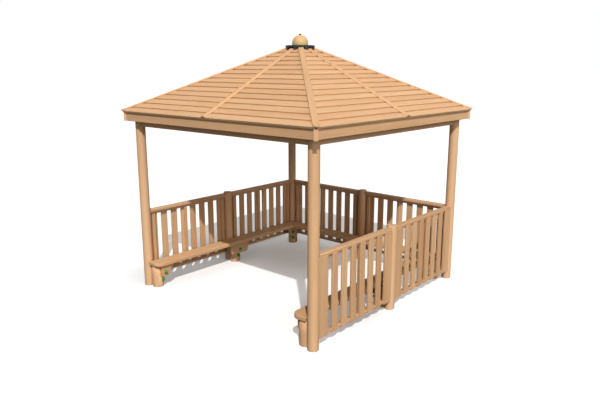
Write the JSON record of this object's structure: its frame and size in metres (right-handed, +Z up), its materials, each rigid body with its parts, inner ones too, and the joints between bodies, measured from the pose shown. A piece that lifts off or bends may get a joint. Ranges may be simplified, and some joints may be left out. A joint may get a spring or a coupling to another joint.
{
  "type": "garden gazebo",
  "caption": "Square open timber gazebo with round posts, a lapped-board pyramid roof with a ball finial, slatted railings on three sides and a low bench inside.",
  "frame": {"origin": "middle of the plan, on the ground that the posts stand on", "axes": "+Z up, -Y out of the open entrance side, +X to the right of someone who looks in at the entrance"},
  "size_m": [3.304, 3.304, 3.3449],
  "materials": {
    "post_timber": "planed softwood, oiled matt",
    "framing_timber": "planed softwood, oiled matt",
    "roof_board_timber": "planed softwood, oiled matt",
    "trim_timber": "planed softwood, oiled matt",
    "railing_timber": "planed softwood, oiled matt",
    "bench_timber": "planed softwood, oiled matt",
    "finial_timber": "planed softwood, oiled matt",
    "black_steel": "black powder coat, satin",
    "bolt_cap_plastic": "green moulded plastic, satin"
  },
  "bodies": {
    "root": {"apex_hub": "framing_timber", "bench_bearers_back": "bench_timber", "bench_bearers_left": "bench_timber", "bench_bearers_right": "bench_timber", "bench_legs_back": "post_timber", "bench_legs_left": "post_timber", "bench_legs_right": "post_timber", "bench_seat_back": "bench_timber", "bench_seat_left": "bench_timber", "bench_seat_right": "bench_timber", "cap_plate": "black_steel", "cap_rails_back": "railing_timber", "cap_rails_left": "railing_timber", "cap_rails_right": "railing_timber", "centre_battens": "trim_timber", "centre_rafters": "framing_timber", "corner_post_back_left": "post_timber", "corner_post_back_right": "post_timber", "corner_post_front_left": "post_timber", "corner_post_front_right": "post_timber", "fascia_back": "trim_timber", "fascia_front": "trim_timber", "fascia_left": "trim_timber", "fascia_right": "trim_timber", "finial_ball": "finial_timber", "finial_tip": "black_steel", "hip_cover_boards": "trim_timber", "hip_rafters": "framing_timber", "mid_post_back": "post_timber", "mid_post_left": "post_timber", "mid_post_right": "post_timber", "railing_back_left": "railing_timber", "railing_back_right": "railing_timber", "railing_left_back": "railing_timber", "railing_left_front": "railing_timber", "railing_right_back": "railing_timber", "railing_right_front": "railing_timber", "ring_beam_back": "framing_timber", "ring_beam_front": "framing_timber", "ring_beam_left": "framing_timber", "ring_beam_right": "framing_timber", "roof_back": "roof_board_timber", "roof_front": "roof_board_timber", "roof_left": "roof_board_timber", "roof_right": "roof_board_timber"}
  },
  "joints": []
}
